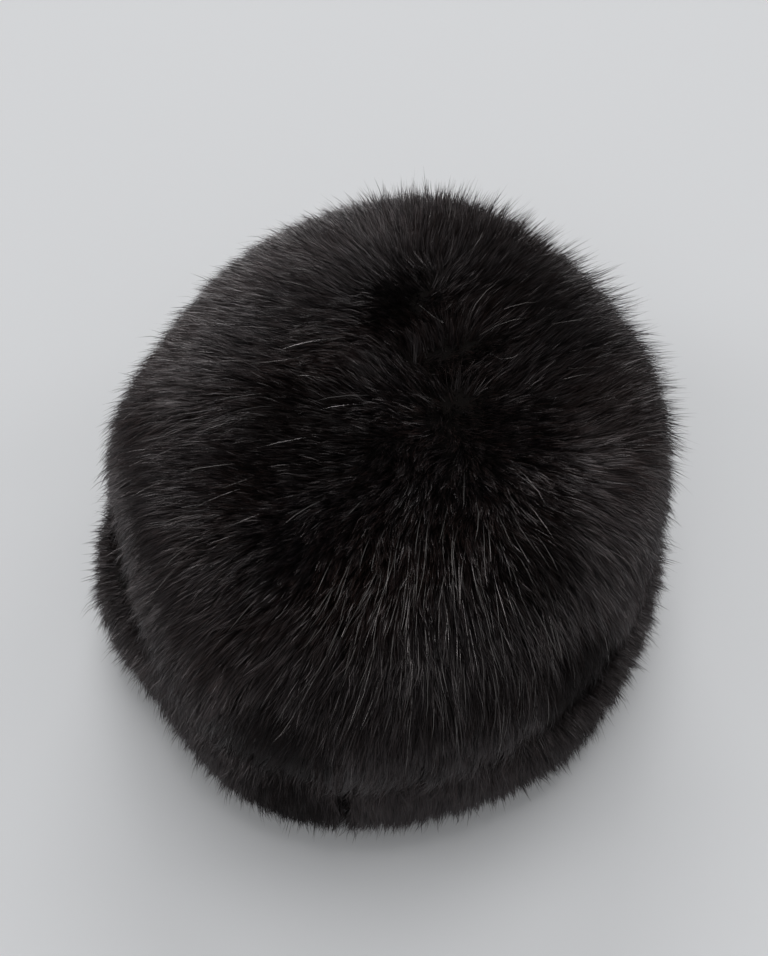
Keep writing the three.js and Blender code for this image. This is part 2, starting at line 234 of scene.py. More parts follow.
class PileSurface:
    """A pile's outer form as a fine grid of points, round the hat and down over it.

    A spot on it is a pair of numbers. On a cap they are places on a disc, whose middle is the top and
    whose rim is the lower edge, so that hair can grow across the top. On a ring they are the angle round
    and the share of the way down. Past its lower edge the surface goes straight on.
    """

    def __init__(self, points: np.ndarray, is_cap: bool) -> None:
        """Takes the grid of points.

        Args:
            points: Points by step round the hat and step down, evenly spaced down.
            is_cap: Whether the first step down is one point at the top.
        """
        self.points = points
        self.is_cap = is_cap

    def around_and_down(self, spots: np.ndarray) -> tuple[np.ndarray, np.ndarray]:
        """The angle round and the share of the way down of each spot."""
        if self.is_cap:
            return np.arctan2(spots[..., 1], spots[..., 0]), np.hypot(spots[..., 0], spots[..., 1])
        return spots[..., 0], spots[..., 1]

    def spot(self, around: np.ndarray, down: np.ndarray) -> np.ndarray:
        """The spots at angles round and shares of the way down."""
        if self.is_cap:
            return np.stack([down * np.cos(around), down * np.sin(around)], axis=-1)
        return np.stack([around, down], axis=-1)

    def at(self, spots: np.ndarray) -> np.ndarray:
        """Finds the points at some spots.

        Args:
            spots: Pairs in the last axis.

        Returns:
            Points in the last axis.
        """
        steps_round, steps_down = self.points.shape[:2]
        around, down = self.around_and_down(spots)
        column = (around / (2 * np.pi) * steps_round) % steps_round
        row = down * (steps_down - 1)
        left = np.floor(column).astype(int) % steps_round
        right = (left + 1) % steps_round
        top = np.clip(np.floor(row).astype(int), 0, steps_down - 2)
        x = (column - np.floor(column))[..., None]
        y = (row - top)[..., None]
        upper = self.points[left, top] * (1 - x) + self.points[right, top] * x
        lower = self.points[left, top + 1] * (1 - x) + self.points[right, top + 1] * x
        return upper * (1 - y) + lower * y

    def slopes(self, spots: np.ndarray) -> tuple[np.ndarray, np.ndarray]:
        """Finds how the surface runs at some spots.

        Args:
            spots: Pairs in the last axis.

        Returns:
            How far a point moves for each unit of the spot's first number, and of its second.
        """
        step = 0.012
        first, second = np.array([step, 0.0]), np.array([0.0, step])
        return (
            (self.at(spots + first) - self.at(spots - first)) / (2 * step),
            (self.at(spots + second) - self.at(spots - second)) / (2 * step),
        )

    def outward(self, spots: np.ndarray) -> np.ndarray:
        """The direction straight out of the pile at each spot."""
        first, second = self.slopes(spots)
        out = np.cross(first, second)
        return unit(out if self.is_cap else -out)

    def moved(self, spots: np.ndarray, move: np.ndarray) -> np.ndarray:
        """Moves spots along the surface.

        Args:
            spots: Where to start.
            move: A short way in space from each, along the surface.

        Returns:
            The spots where the moves end.
        """
        a, b = self.slopes(spots)
        aa, ab, bb = dot(a, a), dot(a, b), dot(b, b)
        am, bm = dot(a, move), dot(b, move)
        spread = aa * bb - ab * ab
        first, second = (bb * am - ab * bm) / spread, (aa * bm - ab * am) / spread
        return spots + np.concatenate([first, second], axis=-1)

    def sown(self, spacing: float, lowest: float, rng: np.random.Generator) -> np.ndarray:
        """Sows spots evenly over the surface, a little out of line.

        Args:
            spacing: The distance from one to the next.
            lowest: The share of the way down where sowing stops.
            rng: Where the unevenness comes from.

        Returns:
            The spots, one a row.
        """
        length = np.linalg.norm(np.diff(self.points, axis=1), axis=-1).sum(axis=1).mean()
        rows = max(2, round(length * lowest / spacing))
        spots = []
        for row in range(rows):
            down = (row + 0.5) / rows * lowest
            ring = self.at(self.spot(np.linspace(0, 2 * np.pi, 73), np.full(73, down)))
            count = max(3, round(np.linalg.norm(np.diff(ring, axis=0), axis=-1).sum() / spacing))
            around = (np.arange(count) + rng.uniform(-0.5, 0.5, count) + rng.uniform()) / count * 2 * np.pi
            spots.append(self.spot(around, down + rng.uniform(-0.5, 0.5, count) / rows * lowest))
        return np.concatenate(spots)


def evenly_down(points: np.ndarray, steps: int) -> np.ndarray:
    """Spaces the points of each section evenly along it.

    Args:
        points: Points by step round and step down.
        steps: How many points each section gets.

    Returns:
        The new grid of points.
    """
    gone = np.cumsum(np.linalg.norm(np.diff(points, axis=1), axis=-1), axis=1)
    gone = np.concatenate([np.zeros((len(points), 1)), gone], axis=1)
    rows = []
    for section, distance in zip(points, gone):
        wanted = np.linspace(0, distance[-1], steps)
        rows.append(np.stack([np.interp(wanted, distance, section[:, i]) for i in range(3)], axis=-1))
    return np.array(rows)


class Effect(Enum):
    """What a patch changes, in its brushing or in its painted shade and sheen, named by the field of
    Brushed that says how much.
    """

    TURN = "turn"
    UPRIGHT = "upright"
    LONGER = "longer"
    STRAGGLY = "straggly"
    RAGGED = "ragged"
    WARMER = "warmer"
    DARKER = "darker"


@dataclass(frozen=True)
class Brushed:
    """A patch where the coat has been brushed another way, or shade or sheen painted on it. Its lengths
    are millimetres.

    at is its middle, turn how far the hair is turned in degrees, upright how much more it stands up, from
    0 for lying to 1 for straight out, longer how much longer it is, straggly how many more times single
    hairs stand off it, ragged how uneven its tufts are, from 0 to 1, and warmer how far it leans to the
    warm
    shade. The last field is painted shade: how far the pale tips are darkened, from 0 to 1, which also
    leaves more guard hair dull; below 0 it is painted sheen, paler and glossier tips. The patch holds in
    full as far as core, and fades from there to reach.
    """

    at: tuple[float, float, float]
    reach: float
    core: float = 0.0
    turn: float = 0.0
    upright: float = 0.0
    longer: float = 0.0
    straggly: float = 0.0
    ragged: float = 0.0
    warmer: float = 0.0
    darker: float = 0.0

    def share(self, points: np.ndarray) -> np.ndarray:
        """How far the patch holds at each point, from 0 to 1."""
        core, reach = self.core * MM, self.reach * MM
        away = np.linalg.norm(points - np.array(self.at) * MM, axis=-1)
        return bump(np.maximum(0, away - core), reach - core)

    def adds(self, points: np.ndarray, effect: Effect) -> np.ndarray:
        """How much of one effect the patch adds at each point, in metres if it is a length."""
        scale = MM if effect is Effect.LONGER else 1
        return getattr(self, effect.value) * scale * self.share(points)


class Grooming:
    """How a coat lies: the way that its hair goes at each point, and how far it stands up."""

    def __init__(
        self, base_upright: float, patches: tuple[Brushed, ...], wander: float, unevenness: float
    ) -> None:
        """Takes what holds for the whole coat.

        Args:
            base_upright: How far hair stands up where it wasn't brushed, from 0 to 1.
            patches: Where it was brushed.
            wander: How far the hair's way strays from place to place, in degrees.
            unevenness: How much more or less it stands up from place to place.
        """
        self.base_upright = base_upright
        self.patches = patches
        self.wander = wander
        self.unevenness = unevenness

    def way(self, points: np.ndarray) -> np.ndarray:
        """The way that hair goes before brushing, not yet along the surface."""
        raise NotImplementedError

    def heading(self, points: np.ndarray, out: np.ndarray) -> np.ndarray:
        """Finds the way that hair goes along the surface.

        Args:
            points: Where the hair grows.
            out: The direction straight out of the pile there.

        Returns:
            Vectors of length 1 along the surface.
        """
        way = self.way(points)
        along = unit(way - out * dot(way, out))
        side = np.cross(out, along)
        turn = self.wander * ripple(points, 46 * MM, 5) + 0.6 * self.wander * ripple(points, 17 * MM, 6)
        turn = np.radians(turn + self.brushed(points, Effect.TURN))[..., None]
        return unit(along * np.cos(turn) + side * np.sin(turn))

    def brushed(self, points: np.ndarray, effect: Effect) -> np.ndarray:
        """Adds up one effect of the patches, whether a brushing or painted shade and sheen.

        Args:
            points: Where the hair grows.
            effect: What the patch changes.

        Returns:
            Its sum at each point.
        """
        return sum(patch.adds(points, effect) for patch in self.patches)

    def upright(self, points: np.ndarray) -> np.ndarray:
        """How far the hair stands up at each point, from 0 to 1."""
        uneven = self.unevenness * (ripple(points, 34 * MM, 7) + 0.7 * ripple(points, 15 * MM, 8))
        return np.clip(self.base_upright + self.brushed(points, Effect.UPRIGHT) + uneven, 0.0, 0.86)


class CrownGrooming(Grooming):
    """The crown's hair lies away from a short parting in front of its middle."""

    parting = (np.array([12 * MM, 50 * MM]), np.array([27 * MM, 2 * MM]))
    ruffle = 13 * MM
    fall = 0.7
    rim_z = 76 * MM
    rim_fade = 12 * MM
    rim_longer = 9 * MM
    rim_ragged = 0.7
    rim_calmed = 0.8
    rim_lower = 0.1

    def way(self, points: np.ndarray) -> np.ndarray:
        """Away from the nearest point of the parting and down, but ruffled close to the parting.

        Args:
            points: Where the hair grows.

        Returns:
            The way it goes, not yet along the surface.
        """
        start, end = self.parting
        line = end - start
        share = np.clip((points[..., :2] - start) @ line / (line @ line), 0.0, 1.0)[..., None]
        away = points[..., :2] - (start + share * line)
        stray = np.stack([ripple(points, 26 * MM, 31), ripple(points, 26 * MM, 32)], axis=-1)
        away = unit(away + self.ruffle * stray)
        return np.concatenate([away, np.full_like(away[..., :1], -self.fall)], axis=-1)

    def brushed(self, points: np.ndarray, effect: Effect) -> np.ndarray:
        """Adds up one effect of the patches, and hangs the hair at the rim down over the band.

        Args:
            points: Where the hair grows.
            effect: What the patch changes.

        Returns:
            Its sum at each point.
        """
        total = super().brushed(points, effect)
        at_rim = np.clip((self.rim_z - points[..., 2]) / self.rim_fade, 0.0, 1.0)
        if effect is Effect.UPRIGHT:
            return total * (1 - self.rim_calmed * at_rim) - self.rim_lower * at_rim
        more = {Effect.LONGER: self.rim_longer, Effect.RAGGED: self.rim_ragged}
        return total + more.get(effect, 0.0) * at_rim


class BandGrooming(Grooming):
    """The band's hair lies down over it, and away from where its two ends meet at the back."""

    parted_within = 6 * MM
    parted_turn = 0.28
    parted_at = 3 * MM
    top_z = 44 * MM
    top_fade = 12 * MM
    top_upright = 0.35
    outwards = 0.6

    def way(self, points: np.ndarray) -> np.ndarray:
        """Down and outwards, with a lean away from the seam.

        Args:
            points: Where the hair grows.

        Returns:
            The way it goes, not yet along the surface.
        """
        level = unit(points * np.array([1.0, 1.0, 0.0]))
        from_seam = points[..., 0] - self.parted_at
        lean = np.where(points[..., 1] < 0, bump(from_seam, self.parted_within), 0.0)
        lean = lean * np.sign(from_seam) * self.parted_turn
        aside = np.stack([lean, np.zeros_like(lean), np.zeros_like(lean)], axis=-1)
        return level * self.outwards + np.array([0.0, 0.0, -1.0]) + aside

    def brushed(self, points: np.ndarray, effect: Effect) -> np.ndarray:
        """Adds up one effect of the patches, and stands the hair on the band's top up to the crown.

        Args:
            points: Where the hair grows.
            effect: What the patch changes.

        Returns:
            Its sum at each point.
        """
        total = super().brushed(points, effect)
        at_top = np.clip((points[..., 2] - self.top_z) / self.top_fade, 0.0, 1.0)
        return total + self.top_upright * at_top if effect is Effect.UPRIGHT else total


@dataclass(frozen=True)
class HairKind:
    """One kind of hair and its sizes.

    Hair grows in tufts tuft_spacing apart, whose hairs start within tuft_radius and draw together by
    gather towards their tips. reach is how far a hair goes along the surface, from root_depth under it
    to tip_height over it, give or take tip_stray. strays is the share that stands off the coat, and
    stands_up how much of the coat's own uprightness this kind takes. width is that of a hair at its
    widest, cuts how far along it each cut is, and widths the width at all cuts but the tip, as a share.
    sway bends a hair sideways, and tuft_turn and roll, in degrees, turn a tuft and a single hair.
    """

    tuft_spacing: float
    hairs_in_tuft: int
    tuft_radius: float
    gather: float
    reach: float
    root_depth: float
    tip_height: float
    tip_stray: float
    strays: float
    stands_up: float
    width: float
    cuts: tuple[float, ...]
    widths: tuple[float, ...]
    sway: float
    tuft_turn: float
    roll: float


# Fibres of underfur are too fine to show, so each ribbon is drawn coarser and stands for a wisp of them.
UNDERFUR = HairKind(
    tuft_spacing=3.2 * MM,
    hairs_in_tuft=7,
    tuft_radius=2.6 * MM,
    gather=0.3,
    reach=11 * MM,
    root_depth=8 * MM,
    tip_height=-1.4 * MM,
    tip_stray=1.0 * MM,
    strays=0.0,
    stands_up=1.0,
    width=0.8 * MM,
    cuts=(0.3, 1.0),
    widths=(1.0,),
    sway=0.06,
    tuft_turn=8,
    roll=25,
)

# Guard hair is about 0.1 mm thick at most. It is drawn about twice as thick, so that it shows.
GUARD_HAIR = HairKind(
    tuft_spacing=2.4 * MM,
    hairs_in_tuft=14,
    tuft_radius=2.2 * MM,
    gather=0.52,
    reach=17.5 * MM,
    root_depth=7 * MM,
    tip_height=0.4 * MM,
    tip_stray=1.1 * MM,
    strays=0.08,
    stands_up=1.0,
    width=0.2 * MM,
    cuts=(0.28, 0.66, 1.0),
    widths=(1.0, 0.8),
    sway=0.06,
    tuft_turn=7,
    roll=38,
)

SHORT_GUARD_HAIR = replace(
    GUARD_HAIR,
    tuft_spacing=2.9 * MM,
    hairs_in_tuft=19,
    tuft_radius=2.5 * MM,
    gather=0.7,
    reach=14 * MM,
    tip_height=-0.3 * MM,
    tuft_turn=11,
)

# Thin pale hairs that paint glints: a few all over, most in the crown's glints patch.
PAINTED_GLINT_HAIR = HairKind(
    tuft_spacing=4.2 * MM,
    hairs_in_tuft=1,
    tuft_radius=2 * MM,
    gather=0.0,
    reach=26 * MM,
    root_depth=4 * MM,
    tip_height=1.8 * MM,
    tip_stray=0.6 * MM,
    strays=0.15,
    stands_up=0.3,
    width=0.12 * MM,
    cuts=(0.2, 0.48, 0.76, 1.0),
    widths=(0.9, 1.0, 0.7),
    sway=0.03,
    tuft_turn=4,
    roll=20,
)


@dataclass
class Hairs:
    """Grown hairs: the middle line and the way out at each cut, half widths, and how each is coloured.

    shade is from 0 for cool to 1 for warm, and tone how far up its colours a hair gets at its tip.
    """

    middles: np.ndarray
    outs: np.ndarray
    roll: np.ndarray
    half_widths: np.ndarray
    shade: np.ndarray
    tone: np.ndarray
    cuts: np.ndarray

    def picked(self, chosen: np.ndarray) -> "Hairs":
        """The hairs that a mask picks."""
        return Hairs(
            self.middles[chosen],
            self.outs[chosen],
            self.roll[chosen],
            self.half_widths[chosen],
            self.shade[chosen],
            self.tone[chosen],
            self.cuts,
        )


@dataclass
class Tufts:
    """The tufts of a coat: where each grows, how it lies, and its path along the surface.

    A tuft's path is spots + speed * s + bend * s * s, where s goes from 0 at its root to 1 at its end.
    aside and ahead move a spot by a millimetre across the tuft and along it.
    """

    spots: np.ndarray
    points: np.ndarray
    out: np.ndarray
    along: np.ndarray
    aside: np.ndarray
    ahead: np.ndarray
    speed: np.ndarray
    bend: np.ndarray
    reach: np.ndarray
    upright: np.ndarray
    longer: np.ndarray
    straggly: np.ndarray
    ragged: np.ndarray

    def picked(self, chosen: np.ndarray) -> "Tufts":
        """The tufts with some numbers, a tuft again for each time that its number comes."""
        return Tufts(**{field.name: getattr(self, field.name)[chosen] for field in fields(self)})


class Coat:
    """Grows hair of one kind over a pile's surface.

    The values that hold for every kind are below. A span is the lowest and highest of an even spread, a
    scatter the spread of a normal one.
    """

    lowest_z = 0.5 * MM
    floor_span = (0, 1.5)

    # Reach along the surface: upright hair loses most of it, and ragged tufts differ more.
    upright_takes = 0.72
    reach_span = (0.85, 1.15)
    ragged_scatter = 0.5
    ragged_limits = (-1.5, 1.2)
    length_span = (0.78, 1.12)
    gather_power = 1.3
    lift_powers = (1.45, 0.4)

    # Height of the tips, and of the single hairs that stray from them.
    straggly_everywhere = 1.1
    straggly_lowers = 1.3
    tuft_height_scatter = 0.9
    upright_scatters = 0.6
    stray_limit = 2.2
    stray_height = 2
    straight_rise = (16, 9)
    straight_rise_upright = 26
    straight_span = (0.8, 1.45)
    width_span = (0.75, 1.25)

    # Colour: how warm, and how far up its colours a hair gets.
    shade_middle = 0.3
    tuft_shade_scatter = 0.12
    hair_shade_scatter = 0.2
    shade_drift = 0.2
    shade_drift_length = 60 * MM
    tone = (0.82, 0.18)
    tone_limits = (0.15, 1.0)

    def __init__(self, surface: PileSurface, grooming: Grooming, lowest: float) -> None:
        """Takes what the hair grows on.

        Args:
            surface: The form that the coat's dense part reaches.
            grooming: How the hair lies.
            lowest: The share of the way down where hair stops.
        """
        self.surface = surface
        self.grooming = grooming
        self.lowest = lowest

    def comb(
        self, spots: np.ndarray, distance: np.ndarray, turn: np.ndarray
    ) -> tuple[np.ndarray, np.ndarray]:
        """Follows the hair's way along the surface in two strides.

        Args:
            spots: Where the tufts grow.
            distance: How far each goes along the surface.
            turn: How far each is turned from the hair's way, in radians.

        Returns:
            The spots half way and at the end.
        """
        stops = [spots]
        for _ in range(2):
            points, out = self.surface.at(stops[-1]), self.surface.outward(stops[-1])
            along = self.grooming.heading(points, out)
            along = along * np.cos(turn)[:, None] + np.cross(out, along) * np.sin(turn)[:, None]
            stops.append(self.surface.moved(stops[-1], along * distance[:, None] / 2))
        return stops[1], stops[2]

    def tufts(self, kind: HairKind, rng: np.random.Generator) -> Tufts:
        """Sows tufts over the surface and combs them.

        Args:
            kind: The kind of hair.
            rng: Where their unevenness comes from.

        Returns:
            The tufts.
        """
        spots = self.surface.sown(kind.tuft_spacing, self.lowest, rng)
        points, out = self.surface.at(spots), self.surface.outward(spots)
        upright = kind.stands_up * self.grooming.upright(points)
        longer = self.grooming.brushed(points, Effect.LONGER)
        ragged = self.grooming.brushed(points, Effect.RAGGED)
        reach = kind.reach * (1 - self.upright_takes * upright) + longer * (1 - upright)
        reach = reach * rng.uniform(*self.reach_span, len(spots))
        uneven = np.clip(rng.normal(size=len(spots)), *self.ragged_limits)
        reach = reach * np.exp(self.ragged_scatter * ragged * uneven)
        turn = np.radians(rng.normal(0, kind.tuft_turn, len(spots)))
        halfway, end = self.comb(spots, reach, turn)
        along = self.grooming.heading(points, out)
        return Tufts(
            spots=spots,
            points=points,
            out=out,
            along=along,
            aside=self.surface.moved(spots, np.cross(out, along) * MM) - spots,
            ahead=self.surface.moved(spots, along * MM) - spots,
            speed=4 * halfway - 3 * spots - end,
            bend=2 * (end - 2 * halfway + spots),
            reach=reach,
            upright=upright,
            longer=longer,
            straggly=self.straggly_everywhere + self.grooming.brushed(points, Effect.STRAGGLY),
            ragged=ragged,
        )

    def tips(
        self, kind: HairKind, own: Tufts, tuft_height: np.ndarray, rng: np.random.Generator
    ) -> tuple[np.ndarray, np.ndarray]:
        """Finds how high the tips are.

        Args:
            kind: The kind of hair.
            own: Each hair's tuft.
            tuft_height: How much higher each hair's tuft is than others.
            rng: Where the unevenness of single hairs comes from.

        Returns:
            How high over the surface each tip is, and which hairs stray.
        """
        count = len(tuft_height)
        lowered = self.straggly_lowers * kind.tip_stray * (own.straggly - 1)
        tuft_height = tuft_height * (1 + own.ragged) - lowered
        tip = kind.tip_height + own.longer * own.upright + tuft_height
        tip = tip + rng.normal(0, kind.tip_stray, count) * (1 + self.upright_scatters * own.upright)
        is_stray = rng.uniform(size=count) < kind.strays * own.straggly
        far = np.minimum(rng.exponential(1, count), self.stray_limit)
        stray = far * self.stray_height * kind.tip_stray
        return tip + is_stray * stray, is_stray

    def colours(
        self, tufts: Tufts, owner: np.ndarray, tuft_shade: np.ndarray, rng: np.random.Generator
    ) -> tuple[np.ndarray, np.ndarray]:
        """Finds each hair's colours.

        Args:
            tufts: The tufts.
            owner: The number of each hair's tuft.
            tuft_shade: How much warmer each tuft is than others.
            rng: Where the unevenness of single hairs comes from.

        Returns:
            Each hair's shade and tone.
        """
        drift = self.shade_drift * ripple(tufts.points, self.shade_drift_length, 9)
        tuft_shade = tuft_shade + drift + self.grooming.brushed(tufts.points, Effect.WARMER)
        shade = self.shade_middle + tuft_shade[owner] + rng.normal(0, self.hair_shade_scatter, len(owner))
        # Painted shade: where patches say so, the tips' colour is darkened and more guard hair falls under
        # DULL_BELOW and is dull; below 0 it is painted sheen, paler and glossier tips.
        darker = self.grooming.brushed(tufts.points, Effect.DARKER)
        tone = (1 - darker[owner]) * rng.normal(*self.tone, len(owner))
        return np.clip(shade, HAIR_MAP_EDGE, 1 - HAIR_MAP_EDGE), np.clip(tone, *self.tone_limits)

    def grow(self, kind: HairKind, seed: int) -> Hairs:
        """Grows tufts of hair all over.

        Args:
            kind: The kind of hair.
            seed: Which of the possible coats.

        Returns:
            The hairs.
        """
        rng = np.random.default_rng(seed)
        tufts = self.tufts(kind, rng)
        tuft_count = len(tufts.spots)
        owner = np.repeat(np.arange(tuft_count), kind.hairs_in_tuft)
        own = tufts.picked(owner)
        count = len(owner)
        off = kind.tuft_radius / MM * np.sqrt(rng.uniform(size=count))
        turn = rng.uniform(0, 2 * np.pi, count)
        offset = own.aside * (off * np.cos(turn))[:, None] + own.ahead * (off * np.sin(turn))[:, None]
        length = rng.uniform(*self.length_span, count)
        sway = rng.normal(0, kind.sway, count) * own.reach / MM
        tuft_height = rng.normal(0, self.tuft_height_scatter * kind.tip_stray, tuft_count)
        tuft_shade = rng.normal(0, self.tuft_shade_scatter, tuft_count)
        tip, is_stray = self.tips(kind, own, tuft_height[owner], rng)
        shade, tone = self.colours(tufts, owner, tuft_shade, rng)

        cuts = np.array(kind.cuts)
        lift_power = self.lift_powers[0] - self.lift_powers[1] * own.upright
        middles, outs = [], []
        for cut in cuts:
            s = (cut * length)[:, None]
            spots = own.spots + own.speed * s + own.bend * s**2
            gathered = offset * (1 - kind.gather * s**self.gather_power)
            spots = spots + gathered + own.aside * (sway[:, None] * s**2)
            lift = 1 - (1 - cut) ** lift_power
            height = -kind.root_depth + (kind.root_depth + tip) * lift
            away = self.surface.outward(spots)
            middle = self.surface.at(spots) + away * height[:, None]
            floor = self.lowest_z * (1 + rng.uniform(*self.floor_span, count))
            middle[:, 2] = np.maximum(middle[:, 2], floor)
            middles.append(middle)
            outs.append(away)
        middles = np.stack(middles, axis=1)

        straight = is_stray * np.minimum(own.straggly - 1, 1)
        rise = rng.normal(*self.straight_rise, count) + self.straight_rise_upright * own.upright
        rise = np.radians(rise)
        way = own.along * np.cos(rise)[:, None] + own.out * np.sin(rise)[:, None]
        span = way * (kind.reach * rng.uniform(*self.straight_span, count))[:, None]
        self.straighten(middles, cuts, straight, span)
        middles[..., 2] = np.maximum(middles[..., 2], self.lowest_z)

        widths = np.array([*kind.widths, 0.0]) * kind.width / 2
        half_widths = widths[None, :] * rng.uniform(*self.width_span, (count, 1))
        roll = rng.normal(0, math.radians(kind.roll), count)
        return Hairs(middles, np.stack(outs, axis=1), roll, half_widths, shade, tone, cuts)

    @staticmethod
    def straighten(middles: np.ndarray, cuts: np.ndarray, share: np.ndarray, span: np.ndarray) -> None:
        """Draws some hairs out straight, off the surface that they follow.

        Args:
            middles: The middle lines, which change.
            cuts: How far along the hair each cut is.
            share: How far each hair is drawn out, from 0 to 1.
            span: From the first cut to the tip of each hair when it is straight.
        """
        gone = ((cuts - cuts[0]) / (1 - cuts[0]))[None, :, None]
        line = middles[:, :1] + gone * span[:, None, :]
        middles += share[:, None, None] * (line - middles)


def hair_mesh(name: str, hairs: Hairs, dull_below: float = 0.0) -> bpy.types.Mesh:
    """Makes one mesh of many hairs, each a flat tapered ribbon rolled its own way.

    The map's first number is the hair's shade, a little less at its left edge and more at its right, and
    its second is how far up the hair's colours it is.

    Args:
        name: The mesh's name.
        hairs: What to draw.
        dull_below: The tone under which a hair takes the second material and not the first.

    Returns:
        The mesh.
    """
    count, cuts = hairs.middles.shape[:2]
    along = unit(np.gradient(hairs.middles, axis=1))
    side = unit(np.cross(along, hairs.outs))
    up = np.cross(side, along)
    roll = hairs.roll[:, None, None]
    across = (side * np.cos(roll) + up * np.sin(roll)) * hairs.half_widths[..., None]
    body = cuts - 1
    middles, across = hairs.middles[:, :body], across[:, :body]
    sides = np.stack([middles - across, middles + across], axis=2)
    corners = np.concatenate([sides.reshape(count, 2 * body, 3), hairs.middles[:, body:]], axis=1)
    corners_each = 2 * body + 1

    quads = [(2 * i, 2 * i + 1, 2 * i + 3, 2 * i + 2) for i in range(body - 1)]
    pattern = np.array([*sum(quads, ()), 2 * body - 2, 2 * body - 1, 2 * body])
    sizes = np.array([4] * (body - 1) + [3])
    loops = (np.arange(count)[:, None] * corners_each + pattern[None, :]).ravel()
    totals = np.tile(sizes, count)
    starts = np.concatenate([[0], np.cumsum(totals)[:-1]])

    mesh = bpy.data.meshes.new(name)
    mesh.vertices.add(count * corners_each)
    mesh.vertices.foreach_set("co", corners.astype(np.float32).ravel())
    mesh.loops.add(len(loops))
    mesh.loops.foreach_set("vertex_index", loops.astype(np.int32))
    mesh.polygons.add(len(totals))
    mesh.polygons.foreach_set("loop_start", starts.astype(np.int32))
    mesh.polygons.foreach_set("loop_total", totals.astype(np.int32))
    is_dull = hairs.tone < dull_below
    mesh.polygons.foreach_set("material_index", np.repeat(is_dull, len(sizes)).astype(np.int32))
    mesh.update(calc_edges=True)
    mesh.shade_smooth()

    shares = np.concatenate([np.repeat(hairs.cuts[:body], 2), hairs.cuts[body:]])
    sideways = np.concatenate([np.tile([-HAIR_MAP_HALF_WIDTH, HAIR_MAP_HALF_WIDTH], body), [0.0]])
    u = hairs.shade[:, None] + sideways[pattern][None, :]
    v = hairs.tone[:, None] * shares[pattern][None, :] * (1 - 2 * HAIR_MAP_EDGE) + HAIR_MAP_EDGE
    layer = mesh.uv_layers.new(name=HAIR_MAP)
    layer.data.foreach_set("uv", np.stack([u, v], axis=-1).astype(np.float32).ravel())
    return mesh


def swept_mesh(name: str, sections: np.ndarray, is_cap: bool) -> bpy.types.Mesh:
    """Makes a closed mesh from sections round the hat.

    Args:
        name: The mesh's name.
        sections: Points by step round and step along the section.
        is_cap: Whether the section starts and ends on the middle line, and isn't a closed loop.

    Returns:
        The mesh, with smooth shading.
    """
    steps, count = sections.shape[:2]
    i, j = np.meshgrid(np.arange(steps), np.arange(count - 1 if is_cap else count), indexing="ij")
    right, on = (i + 1) % steps, (j + 1) % count
    faces = np.stack([i * count + j, i * count + on, right * count + on, right * count + j], axis=-1)
    mesh = bpy.data.meshes.new(name)
    mesh.from_pydata(sections.reshape(-1, 3).tolist(), [], faces.reshape(-1, 4).tolist())
    merge_corners(mesh)
    mesh.shade_smooth()
    return mesh


def merge_corners(mesh: bpy.types.Mesh) -> None:
    """Merges the corners of a mesh that lie on each other, and drops the faces that this empties.

    Args:
        mesh: The mesh, which changes.
    """
    work = bmesh.new()
    work.from_mesh(mesh)
    bmesh.ops.remove_doubles(work, verts=work.verts, dist=0.01 * MM)
    bmesh.ops.dissolve_degenerate(work, edges=work.edges, dist=0.001 * MM)
    bmesh.ops.recalc_face_normals(work, faces=work.faces)
    work.to_mesh(mesh)
    work.free()


class Nodes:
    """The node tree of one material."""

    def __init__(self, name: str) -> None:
        """Makes the material, empty but for its output."""
        self.material = bpy.data.materials.new(name)
        self.material.use_nodes = True
        self.tree = self.material.node_tree
        self.tree.nodes.clear()
        self.output = self.add("ShaderNodeOutputMaterial")

    def add(self, kind: str, settings: dict | None = None, links: dict | None = None) -> bpy.types.Node:
        """Adds a node with its settings and links.

        Args:
            kind: Blender's name for the node.
            settings: Values by socket, or by the node's own property.
            links: Output sockets by the input that each goes to.

        Returns:
            The node.
        """
        node = self.tree.nodes.new(kind)
        for key, value in (settings or {}).items():
            if isinstance(key, str) and hasattr(node, key):
                setattr(node, key, value)
            else:
                node.inputs[key].default_value = value
        for key, socket in (links or {}).items():
            self.tree.links.new(socket, node.inputs[key])
        return node

    def finish(self, shader: bpy.types.Node) -> bpy.types.Material:
        """Sends a shader to the material's output."""
        self.tree.links.new(shader.outputs[0], self.output.inputs["Surface"])
        return self.material


def set_stops(ramp: bpy.types.Node, stops: tuple[tuple[float, str], ...]) -> bpy.types.Node:
    """Gives a colour ramp its stops.

    Args:
        ramp: The colour ramp's node.
        stops: A place from 0 to 1 and a colour for each.

    Returns:
        The same node.
    """
    elements = ramp.color_ramp.elements
    while len(elements) > 1:
        elements.remove(elements[-1])
    elements[0].position, elements[0].color = stops[0][0], linear(stops[0][1])
    for place, colour in stops[1:]:
        elements.new(place).color = linear(colour)
    return ramp


